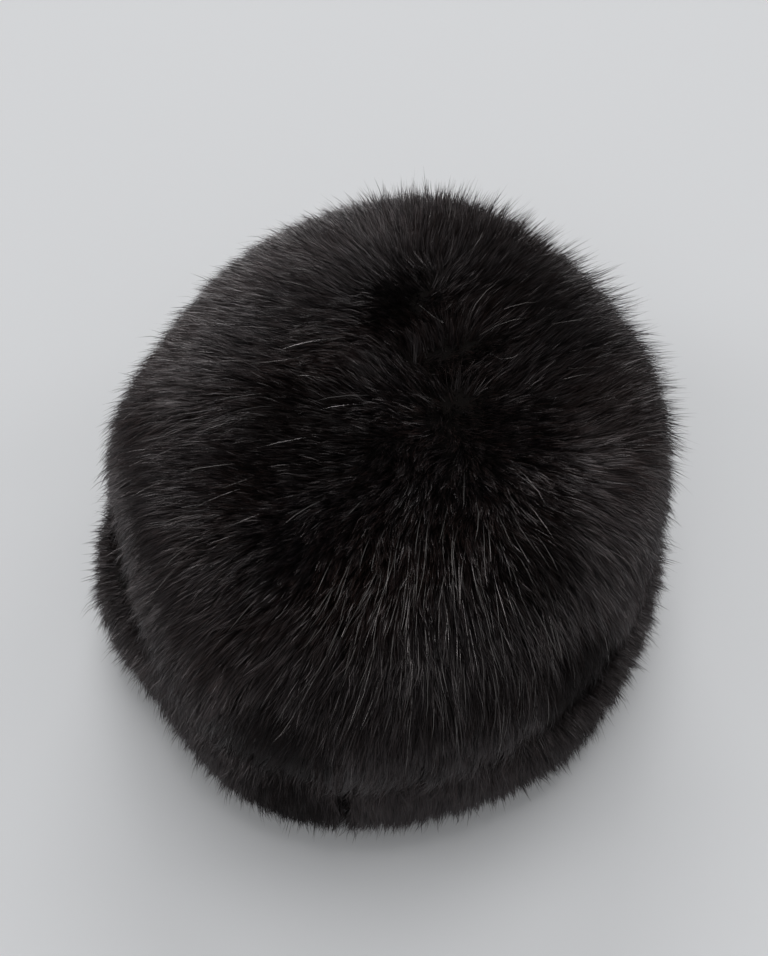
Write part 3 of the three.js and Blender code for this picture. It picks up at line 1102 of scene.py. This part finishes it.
@dataclass(frozen=True)
class HairFinish:
    """Dyed mink hair: smooth scaled keratin, which is glossy along each hair.

    To the eye it is almost black with a cool sheen where the hair lies across the light, and its warm
    brown shows only where hair is thin. cool and warm are the two shades, each from root to tip.
    """

    name: str
    cool: tuple[tuple[float, str], ...]
    warm: tuple[tuple[float, str], ...]
    roughness: float
    specular: float = 0.44
    ior: float = 1.55
    across_spread: float = 0.8
    sheen_tint: str = "#fff3f5"

    def build(self) -> bpy.types.Material:
        """Makes the material.

        Returns:
            The material, with its nodes.
        """
        nodes = Nodes(self.name)
        hair = nodes.add("ShaderNodeUVMap", {"uv_map": HAIR_MAP})
        split = nodes.add("ShaderNodeSeparateXYZ", links={"Vector": hair.outputs["UV"]})
        cool = set_stops(nodes.add("ShaderNodeValToRGB", links={"Fac": split.outputs["Y"]}), self.cool)
        warm = set_stops(nodes.add("ShaderNodeValToRGB", links={"Fac": split.outputs["Y"]}), self.warm)
        shade = nodes.add(
            "ShaderNodeMix",
            {"data_type": "RGBA"},
            {0: split.outputs["X"], 6: cool.outputs["Color"], 7: warm.outputs["Color"]},
        )
        across = nodes.add("ShaderNodeTangent", {"direction_type": "UV_MAP", "uv_map": HAIR_MAP})
        shader = nodes.add(
            "ShaderNodeBsdfPrincipled",
            {
                "Roughness": self.roughness,
                "IOR": self.ior,
                "Specular IOR Level": self.specular,
                "Specular Tint": linear(self.sheen_tint),
                "Anisotropic": self.across_spread,
            },
            {"Base Color": shade.outputs[2], "Tangent": across.outputs["Tangent"]},
        )
        return nodes.finish(shader)


@dataclass(frozen=True)
class UnderfurFinish:
    """The felted mass of underfur deep in the coat: dull, dark and downy, so it swallows light."""

    name: str = "mink_underfur_mass"
    dark: str = "#070504"
    light: str = "#120d0b"
    tuft: float = 2.5 * MM

    def build(self) -> bpy.types.Material:
        """Makes the material.

        Returns:
            The material, with its nodes.
        """
        nodes = Nodes(self.name)
        place = nodes.add("ShaderNodeTexCoord")
        tufts = nodes.add(
            "ShaderNodeTexNoise",
            {"Scale": 1 / self.tuft, "Detail": 3.0, "Roughness": 0.6},
            {"Vector": place.outputs["Object"]},
        )
        colour = nodes.add("ShaderNodeValToRGB", links={"Fac": tufts.outputs["Fac"]})
        set_stops(colour, ((0.3, self.dark), (0.8, self.light)))
        relief = nodes.add(
            "ShaderNodeBump", {"Strength": 0.8, "Distance": 0.8 * MM}, {"Height": tufts.outputs["Fac"]}
        )
        shader = nodes.add(
            "ShaderNodeBsdfPrincipled",
            {"Roughness": 0.9, "Specular IOR Level": 0.15},
            {"Base Color": colour.outputs["Color"], "Normal": relief.outputs["Normal"]},
        )
        return nodes.finish(shader)


@dataclass(frozen=True)
class SuedeFinish:
    """The flesh side of a tanned and dressed pelt: soft, matt and a little mottled, like fine suede.

    Fine pores roughen it, and slow stains from the dye and the tanning change its tan. The grain of real
    suede is finer than this and wouldn't show, so it is drawn coarser.
    """

    name: str = "dressed_pelt_suede"
    pale: str = "#9a8a74"
    dark: str = "#6d5d4b"
    grain: float = 0.9 * MM
    mottle: float = 22 * MM

    def build(self) -> bpy.types.Material:
        """Makes the material.

        Returns:
            The material, with its nodes.
        """
        nodes = Nodes(self.name)
        place = nodes.add("ShaderNodeTexCoord")
        mottle = nodes.add(
            "ShaderNodeTexNoise",
            {"Scale": 1 / self.mottle, "Detail": 5.0, "Roughness": 0.6},
            {"Vector": place.outputs["Object"]},
        )
        grain = nodes.add(
            "ShaderNodeTexNoise",
            {"Scale": 1 / self.grain, "Detail": 4.0, "Roughness": 0.65},
            {"Vector": place.outputs["Object"]},
        )
        colour = nodes.add("ShaderNodeValToRGB", links={"Fac": mottle.outputs["Fac"]})
        set_stops(colour, ((0.3, self.dark), (0.7, self.pale)))
        relief = nodes.add(
            "ShaderNodeBump", {"Strength": 0.6, "Distance": 0.25 * MM}, {"Height": grain.outputs["Fac"]}
        )
        shader = nodes.add(
            "ShaderNodeBsdfPrincipled",
            {"Roughness": 0.92, "Sheen Weight": 0.25, "Sheen Roughness": 0.5},
            {"Base Color": colour.outputs["Color"], "Normal": relief.outputs["Normal"]},
        )
        return nodes.finish(shader)


@dataclass(frozen=True)
class PaperFinish:
    """A sheet of pale matt paper under and behind the hat."""

    name: str = "matt_paper"
    colour: str = "#dcdddf"

    def build(self) -> bpy.types.Material:
        """Makes the material.

        Returns:
            The material, with its nodes.
        """
        nodes = Nodes(self.name)
        shader = nodes.add(
            "ShaderNodeBsdfPrincipled", {"Base Color": linear(self.colour), "Roughness": 0.85}
        )
        return nodes.finish(shader)


class Shade(Enum):
    """The dyed shades of each kind of hair, root to tip."""

    # Long smooth guard hair: near black, with a cool sheen along the hair that gives the coat its gloss.
    GUARD = HairFinish(
        name="mink_guard_hair",
        cool=((0.0, "#0a0909"), (0.6, "#131112"), (1.0, "#2d292b")),
        warm=((0.0, "#100a09"), (0.6, "#1c1310"), (1.0, "#402a24")),
        roughness=0.33,
    )
    # The same hair, dull: it keeps the colour and loses the sheen. Hair low in tone takes it, at random
    # all over and more where shade is painted.
    DULL_GUARD = replace(GUARD, name="mink_guard_hair_dull", roughness=0.45, specular=0.1)
    # Short crimped underfur: browner and softer, seen as warm shade between the guard hairs.
    DOWN = HairFinish(
        name="mink_underfur_hair",
        cool=((0.0, "#090808"), (1.0, "#1a1718")),
        warm=((0.0, "#0d0807"), (1.0, "#251813")),
        roughness=0.5,
        specular=0.4,
    )
    # Single pale, smooth hairs: their pale colour is painted glint, thin bright lines on the dark coat
    # where the glints show. Their gloss also catches real glints from the lamp.
    SILVER = HairFinish(
        name="mink_painted_glint_hair",
        cool=((0.0, "#1a1817"), (1.0, "#8a8886")),
        warm=((0.0, "#1a1817"), (1.0, "#a09c98")),
        roughness=0.22,
        specular=0.8,
    )


def add_piece(
    mesh: bpy.types.Mesh, finishes: list[bpy.types.Material], stands_for: str
) -> bpy.types.Object:
    """Puts a piece of the hat into the scene.

    Args:
        mesh: Its mesh, whose name it takes.
        finishes: Its materials, in the mesh's order.
        stands_for: The solid that it is shown in place of.

    Returns:
        The object.
    """
    piece = bpy.data.objects.new(mesh.name, mesh)
    bpy.context.scene.collection.objects.link(piece)
    for finish in finishes:
        mesh.materials.append(finish)
    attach(piece, BODY)
    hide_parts(stands_for)
    mesh.calc_loop_triangles()
    log.info("%s: %d triangles", piece.name, len(mesh.loop_triangles))
    return piece


@dataclass(frozen=True)
class Hide:
    """The crown's hide, a thin dome drawn in to the head at its edge, and the band's round its foot."""

    half_width: float = 92 * MM
    widest_z: float = 62 * MM
    rise: float = 50 * MM
    edge_z: float = 11 * MM
    take_in: float = 7 * MM
    thickness: float = 2 * MM
    clearance: float = 0.4 * MM

    def dome(self, polar: np.ndarray, outset: float) -> tuple[np.ndarray, np.ndarray]:
        """Half width and height of the dome at angles down from its top."""
        half_width = (self.half_width + outset) * rounded(np.sin(polar))
        return half_width, self.widest_z + (self.rise + outset) * rounded(np.cos(polar))

    def wall(self, height: np.ndarray, outset: float) -> np.ndarray:
        """Half width of the wall under the dome at some heights."""
        down = np.maximum(0, self.widest_z - height) / (self.widest_z - self.edge_z)
        return self.half_width + outset - self.take_in * down**1.5

    def dress(self, frame: dict) -> None:
        """Gives the two hides their finish.

        Args:
            frame: The loaded frame.
        """
        suede = SuedeFinish().build()
        for name in ("crown_hide", "band_hide"):
            node = frame["nodes"][name]
            node.data.materials.clear()
            node.data.materials.append(suede)
            log.info("%s: dressed", name)


@dataclass(frozen=True)
class Crown:
    """The domed crown: its pile's form, and the coat that grows on it."""

    plan: Plan = Plan()
    hide: Hide = Hide()
    half_width: float = 106 * MM
    widest_z: float = 67.5 * MM
    rise: float = 57.5 * MM
    tuck: float = 9 * MM
    tuck_drop: float = 10.2 * MM
    tuck_clear: float = 0.5 * MM
    skirt_drop: float = 14 * MM
    skirt_draw_in: float = 3 * MM
    body_inset: float = 6 * MM
    # Where most of the hairs that paint glints grow.
    glints: Brushed = Brushed(at=(34, -80, 110), core=16, reach=50)
    glints_elsewhere: float = 0.07
    slot: str = "crown_pile"
    node: str = "crown_fur"

    def dome(self, around: np.ndarray, polar: np.ndarray, inset: float) -> tuple[np.ndarray, np.ndarray]:
        """Half width and height of the pile's form.

        Args:
            around: Angles round, in radians.
            polar: Angles down from the top, in radians.
            inset: How far inside the form.

        Returns:
            The half widths and the heights.
        """
        out = rounded(np.sin(polar))
        form = self.plan.place(self.half_width * out, np.zeros_like(out), around)
        dip = 0.0
        for row in HOLLOWS:
            middle_width = self.half_width * rounded(np.sin(np.radians(row.polar)))
            middle = self.plan.place(middle_width, 0.0, np.radians(row.around))
            away = np.linalg.norm(form - middle, axis=-1)
            dip = dip + row.depth * bump(away, row.reach) * bump(np.degrees(polar), 90)
        half_width = (self.half_width + swell(around, Part.CROWN) - inset) * out
        return half_width, self.widest_z + (self.rise - inset - dip) * rounded(np.cos(polar))

    def surface(self) -> PileSurface:
        """The form that the coat reaches, going straight on down where the pile tucks in.

        Returns:
            The surface, as a cap.
        """
        around, polar = np.meshgrid(
            np.linspace(0, 2 * np.pi, 360, endpoint=False), np.linspace(0, np.pi / 2, 240), indexing="ij"
        )
        half_width, height = self.dome(around, polar, 0.0)
        down = np.linspace(0.05, 1, 24)[None, :]
        skirt_width = half_width[:, -1:] - self.skirt_draw_in * down**2
        skirt_height = height[:, -1:] - self.skirt_drop * down
        points = self.plan.place(
            np.concatenate([half_width, skirt_width], axis=1),
            np.concatenate([height, skirt_height], axis=1),
            around[:, :1],
        )
        return PileSurface(evenly_down(points, 260), is_cap=True)

    def body_mesh(self) -> bpy.types.Mesh:
        """The soft mass of the pile under its hair, hollow over the hide and uneven with tufts.

        Returns:
            The mesh.
        """
        around, polar = np.meshgrid(
            np.linspace(0, 2 * np.pi, 180, endpoint=False), np.linspace(0, np.pi / 2, 40), indexing="ij"
        )
        half_width, height = self.dome(around, polar, self.body_inset)
        turn = np.radians(np.linspace(15, 90, 6))[None, :]
        tuck_width = half_width[:, -1:] - self.tuck * (1 - np.cos(turn))
        tuck_height = self.widest_z - self.tuck_drop * np.sin(turn)
        inside_polar = np.linspace(np.pi / 2, 0, 16)[None, :]
        inside_width, inside_height = self.hide.dome(inside_polar, self.hide.clearance)
        foot = self.hide.half_width + self.hide.clearance
        tuck_width = np.maximum(tuck_width, foot + self.tuck_clear)
        ones = np.ones_like(half_width[:, :1])
        foot_height = tuck_height[:, -1:]
        points = self.plan.place(
            np.concatenate([half_width, tuck_width, foot * ones, inside_width * ones], axis=1),
            np.concatenate([height, tuck_height * ones, foot_height * ones, inside_height * ones], axis=1),
            around[:, :1],
        )
        swelling = ripple(points, 9 * MM, 3) * 0.7 * MM
        points[:, 1:40, 2] += swelling[:, 1:40]
        return swept_mesh("crown_underfur_mass", points, is_cap=True)

    def grooming(self) -> Grooming:
        """How the crown's hair lies: upright at the parting and round the front right of the rim.

        Returns:
            The grooming.
        """
        # Some patches darken the hair's tips and leave more of it dull: that is painted shade, in the
        # crease above the band and on dark parts of the top. Others make the tips paler and glossier: that
        # is painted sheen, on the left and right and on parts of the top and of the back rim.
        patches = (
            Brushed(at=(12, -28, 122), core=36, reach=88, upright=0.5, darker=-0.25),
            Brushed(at=(-2, 62, 121), core=6, reach=32, upright=-0.12, darker=-0.2),
            Brushed(at=(-52, -46, 116), core=12, reach=34, upright=0.35),
            Brushed(at=(-24, -82, 113), core=8, reach=34, upright=0.3),
            Brushed(at=(50, -76, 110), core=6, reach=26, upright=0.22),
            Brushed(at=(-17, -119, 80), core=10, reach=30, upright=-0.2, darker=0.6),
            Brushed(at=(84, -75, 82), core=8, reach=30, upright=-0.2, darker=0.7),
            Brushed(at=(60, -48, 114), core=6, reach=28, darker=0.45),
            Brushed(at=(-19, -22, 124), core=14, reach=32, darker=0.5),
            Brushed(at=(92, -40, 94), core=12, reach=38, upright=-0.14, darker=-0.4),
            Brushed(at=(58, 55, 110), core=50, reach=84, upright=0.75, darker=0.2),
            Brushed(at=(25, 95, 108), core=18, reach=50, upright=0.15),
            Brushed(at=(15, 104, 100), core=10, reach=36, warmer=0.35),
            Brushed(at=(-92, 48, 80), core=24, reach=84, upright=0.3, darker=-0.3),
            Brushed(at=(-96, -12, 92), core=12, reach=46, darker=-0.3),
            Brushed(at=(100, 50, 85), core=20, reach=70, straggly=0.5),
            Brushed(at=(58, 108, 85), core=20, reach=70, upright=0.3, straggly=0.55),
            Brushed(at=(-8, 122, 85), reach=66, upright=0.25, longer=2, straggly=0.5),
            Brushed(at=(80, 0, 110), core=8, reach=38, turn=30, upright=-0.4, warmer=0.4),
            Brushed(at=(28, -96, 108), core=20, reach=60, upright=-0.18, darker=0.3),
            Brushed(at=(26, -122, 66), core=24, reach=60, upright=-0.06, ragged=1.0, darker=-0.25),
            Brushed(at=(-60, -104, 66), core=24, reach=60, upright=0.05, ragged=1.0),
        )
        return CrownGrooming(base_upright=0.14, patches=patches, wander=8, unevenness=0.09)

    def build(self) -> None:
        """Makes the crown's pieces."""
        add_piece(self.body_mesh(), [UnderfurFinish().build()], self.node)
        coat = Coat(self.surface(), self.grooming(), lowest=0.985)
        down = coat.grow(UNDERFUR, seed=101)
        add_piece(hair_mesh("crown_underfur", down), [Shade.DOWN.value.build()], self.node)
        guard = coat.grow(GUARD_HAIR, seed=102)
        finishes = [Shade.GUARD.value.build(), Shade.DULL_GUARD.value.build()]
        third = np.degrees(np.arctan2(guard.middles[:, 0, 1], guard.middles[:, 0, 0])) // 120 % 3
        for index, side in enumerate(("right", "left", "back")):
            mesh = hair_mesh(f"crown_guard_hair_{side}", guard.picked(third == index), DULL_BELOW)
            add_piece(mesh, finishes, self.node)
        # Pale hairs that paint glints, most of them in the glints patch.
        painted_glint_hairs = coat.grow(PAINTED_GLINT_HAIR, seed=103)
        glints = self.glints.share(painted_glint_hairs.middles[:, 0])
        share = self.glints_elsewhere + (1 - self.glints_elsewhere) * glints
        chosen = np.random.default_rng(104).uniform(size=len(share)) < share
        mesh = hair_mesh("crown_painted_glint_hair", painted_glint_hairs.picked(chosen))
        add_piece(mesh, [Shade.SILVER.value.build()], self.node)


@dataclass(frozen=True)
class Seam:
    """The dip where the band's ends meet.

    It closes towards the band's foot, from 30 degrees above closed_under, measured up from its middle.
    """

    half_width: float
    depth: float
    closed_under: float


@dataclass(frozen=True)
class Band:
    """The turned-up band: a roll of pile round the hat's foot, pressed flat on the floor."""

    plan: Plan = Plan()
    hide: Hide = Hide()
    half_width: float = 109 * MM
    rounding: float = 14 * MM
    half_height: float = 28.1 * MM
    seam_at: float = 271.4
    seam: Seam = Seam(half_width=4.5 * MM, depth=4.5 * MM, closed_under=-120)
    hair_seam: Seam = Seam(half_width=0.9 * MM, depth=4.0 * MM, closed_under=-32)
    foot_outer: float = 97 * MM
    body_inset: float = 6 * MM
    slot: str = "band_pile"
    node: str = "band_fur"

    def roll(
        self, around: np.ndarray, rise: np.ndarray, inset: float, seam: Seam
    ) -> tuple[np.ndarray, np.ndarray]:
        """Half width and height of the band's form.

        Args:
            around: Angles round, in radians.
            rise: Angles up from the band's middle, in radians.
            inset: How far inside the form.
            seam: The dip where the band's ends meet.

        Returns:
            The half widths and the heights.
        """
        middle = self.plan.place(self.half_width, 0.0, np.radians(self.seam_at))
        away = np.linalg.norm(self.plan.place(self.half_width, 0.0 * around, around) - middle, axis=-1)
        open_share = np.clip((np.degrees(rise) - seam.closed_under) / 30, 0.0, 1.0)
        parting = seam.depth * bump(away, 2 * seam.half_width) * open_share
        middle = self.half_width - self.rounding
        out = (self.rounding + swell(around, Part.BAND) - inset - parting) * rounded(np.cos(rise))
        return middle + out, self.half_height * (1 + rounded(np.sin(rise)))

    def surface(self) -> PileSurface:
        """The form that the coat reaches, from the band's top down to its foot.

        Returns:
            The surface, as a ring.
        """
        around, rise = np.meshgrid(
            np.linspace(0, 2 * np.pi, 720, endpoint=False),
            np.radians(np.linspace(96, -58, 200)),
            indexing="ij",
        )
        half_width, height = self.roll(around, rise, 0.0, self.hair_seam)
        return PileSurface(evenly_down(self.plan.place(half_width, height, around), 200), is_cap=False)

    def body_mesh(self) -> bpy.types.Mesh:
        """The soft mass of the pile under its hair, round the band's hide and under its edge.

        Returns:
            The mesh.
        """
        around, rise = np.meshgrid(
            np.linspace(0, 2 * np.pi, 240, endpoint=False),
            np.radians(np.linspace(84, -52, 22)),
            indexing="ij",
        )
        half_width, height = self.roll(around, rise, self.body_inset, self.seam)
        gap = 2 * self.hide.clearance + self.hide.thickness
        edge = self.hide.wall(np.array(self.hide.edge_z), 0.0)
        under = self.hide.edge_z - gap
        inside = edge - 2 * self.hide.thickness - self.hide.clearance
        levels = np.array([self.hide.edge_z, 32 * MM, 51 * MM])
        inner = [
            (self.foot_outer - self.body_inset / 2, 0.6 * MM),
            (edge, 0.6 * MM),
            (inside, under * 0.6),
            (inside + 0.6 * MM, under),
            (edge + self.hide.clearance, under),
            *zip(self.hide.wall(levels, gap), levels),
        ]
        ones = np.ones_like(half_width[:, :1])
        inner_width = np.array([w for w, _ in inner])[None, :] * ones
        inner_height = np.array([h for _, h in inner])[None, :] * ones
        points = self.plan.place(
            np.concatenate([half_width, inner_width], axis=1),
            np.concatenate([height, inner_height], axis=1),
            around[:, :1],
        )
        return swept_mesh("band_underfur_mass", points, is_cap=False)

    def grooming(self) -> Grooming:
        """How the band's hair lies: well off the hide all round, as short hair on a tight roll does.

        Returns:
            The grooming.
        """
        # Some patches darken the hair's tips and leave more of it dull, as painted shade by the seam and
        # at the back right under the crown's rim; the one right of the seam makes them paler and glossier,
        # as painted sheen.
        patches = (
            Brushed(at=(-104, -40, 28), reach=60, turn=-12, upright=0.12),
            Brushed(at=(100, -50, 28), reach=60, turn=10, upright=0.05),
            Brushed(at=(90, 80, 28), reach=80, upright=0.15),
            Brushed(at=(-18, -121, 35), core=10, reach=26, upright=-0.2, darker=0.5),
            Brushed(at=(36, -118, 35), core=20, reach=40, upright=0.12, darker=-0.3),
            Brushed(at=(84, -76, 35), core=16, reach=40, upright=0.2, longer=5, darker=0.15),
            Brushed(at=(108, -18, 35), core=10, reach=40, upright=0.1, longer=4),
        )
        return BandGrooming(base_upright=0.24, patches=patches, wander=14, unevenness=0.2)

    def build(self) -> None:
        """Makes the band's pieces."""
        add_piece(self.body_mesh(), [UnderfurFinish().build()], self.node)
        coat = Coat(self.surface(), self.grooming(), lowest=0.98)
        down = coat.grow(UNDERFUR, seed=201)
        add_piece(hair_mesh("band_underfur", down), [Shade.DOWN.value.build()], self.node)
        guard = coat.grow(SHORT_GUARD_HAIR, seed=202)
        finishes = [Shade.GUARD.value.build(), Shade.DULL_GUARD.value.build()]
        is_right = guard.middles[:, 0, 0] > 0
        for name, chosen in (("band_guard_hair_right", is_right), ("band_guard_hair_left", ~is_right)):
            mesh = hair_mesh(name, guard.picked(chosen), DULL_BELOW)
            add_piece(mesh, finishes, self.node)


@dataclass(frozen=True)
class Softbox:
    """One wide soft light, so far off that it lights the hat and the floor evenly.

    around is which side it stands on, in degrees from +X towards +Y, above how far above the floor it
    stands and spread how wide it looks from the hat, in degrees, and strength its irradiance, in watts a
    square metre.
    """

    name: str
    around: float
    above: float
    spread: float
    strength: float

    def build(self) -> None:
        """Makes the light."""
        lamp = bpy.data.lights.new(self.name, "SUN")
        lamp.angle = math.radians(self.spread)
        lamp.energy = self.strength
        light = bpy.data.objects.new(self.name, lamp)
        bpy.context.scene.collection.objects.link(light)
        side, up = math.radians(self.around), math.radians(self.above)
        towards = Vector((math.cos(side) * math.cos(up), math.sin(side) * math.cos(up), math.sin(up)))
        light.location = towards * 2
        light.rotation_mode = "QUATERNION"
        light.rotation_quaternion = towards.to_track_quat("Z", "Y")


SOFTBOXES = (
    Softbox("softbox_above", around=97, above=75, spread=33, strength=0.78),
    Softbox("softbox_behind", around=100, above=10, spread=33, strength=2.15),
    Softbox("softbox_right", around=60, above=10, spread=26, strength=0.42),
    Softbox("softbox_far_right", around=25, above=10, spread=24, strength=0.6),
    Softbox("softbox_left", around=183, above=11, spread=27, strength=0.85),
    Softbox("softbox_front", around=252, above=50, spread=32, strength=0.22),
    Softbox("lamp_glints", around=27, above=86, spread=4, strength=0.13),
)


class Studio:
    """A plain pale floor, soft light and the camera."""

    floor_half = 12.0
    floor_z = -0.05 * MM
    room_light = 0.38
    lens = 50.0
    sensor = 36.0
    azimuth = 7.85
    elevation = 57.0
    distance = 0.5175
    aim = (0.0, 0.0, 62 * MM)

    def build(self) -> None:
        """Makes the floor, the lights and the camera."""
        bpy.context.scene.view_settings.view_transform = "Standard"
        self.floor()
        self.world()
        for softbox in SOFTBOXES:
            softbox.build()
        self.camera()

    def floor(self) -> None:
        """A wide sheet of paper that the hat rests on."""
        half, z = self.floor_half, self.floor_z
        corners = [(-half, -half, z), (half, -half, z), (half, half, z), (-half, half, z)]
        mesh = bpy.data.meshes.new("paper_floor")
        mesh.from_pydata(corners, [], [(0, 1, 2, 3)])
        floor = bpy.data.objects.new("paper_floor", mesh)
        bpy.context.scene.collection.objects.link(floor)
        mesh.materials.append(PaperFinish().build())

    def world(self) -> None:
        """A dim even light from all round."""
        world = bpy.data.worlds.new("soft_room")
        bpy.context.scene.world = world
        world.use_nodes = True
        background = world.node_tree.nodes["Background"]
        background.inputs["Color"].default_value = linear("#eeeff0")
        background.inputs["Strength"].default_value = self.room_light

    def camera(self) -> None:
        """The camera above the centre back, looking down at the crown."""
        lens = bpy.data.cameras.new("camera")
        lens.lens = self.lens
        lens.sensor_width = self.sensor
        camera = bpy.data.objects.new("camera", lens)
        bpy.context.scene.collection.objects.link(camera)
        across, up = math.radians(self.azimuth), math.radians(self.elevation)
        back = Vector((math.sin(across) * math.cos(up), -math.cos(across) * math.cos(up), math.sin(up)))
        camera.location = Vector(self.aim) + back * self.distance
        camera.rotation_mode = "QUATERNION"
        camera.rotation_quaternion = (-back).to_track_quat("-Z", "Y")
        bpy.context.scene.camera = camera


def main() -> None:
    """Builds the dressed hat in its studio."""
    logging.basicConfig(level=logging.INFO, format="%(name)s: %(message)s")
    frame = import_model()
    Hide().dress(frame)
    Crown().build()
    Band().build()
    Studio().build()


if __name__ == "__main__":
    main()
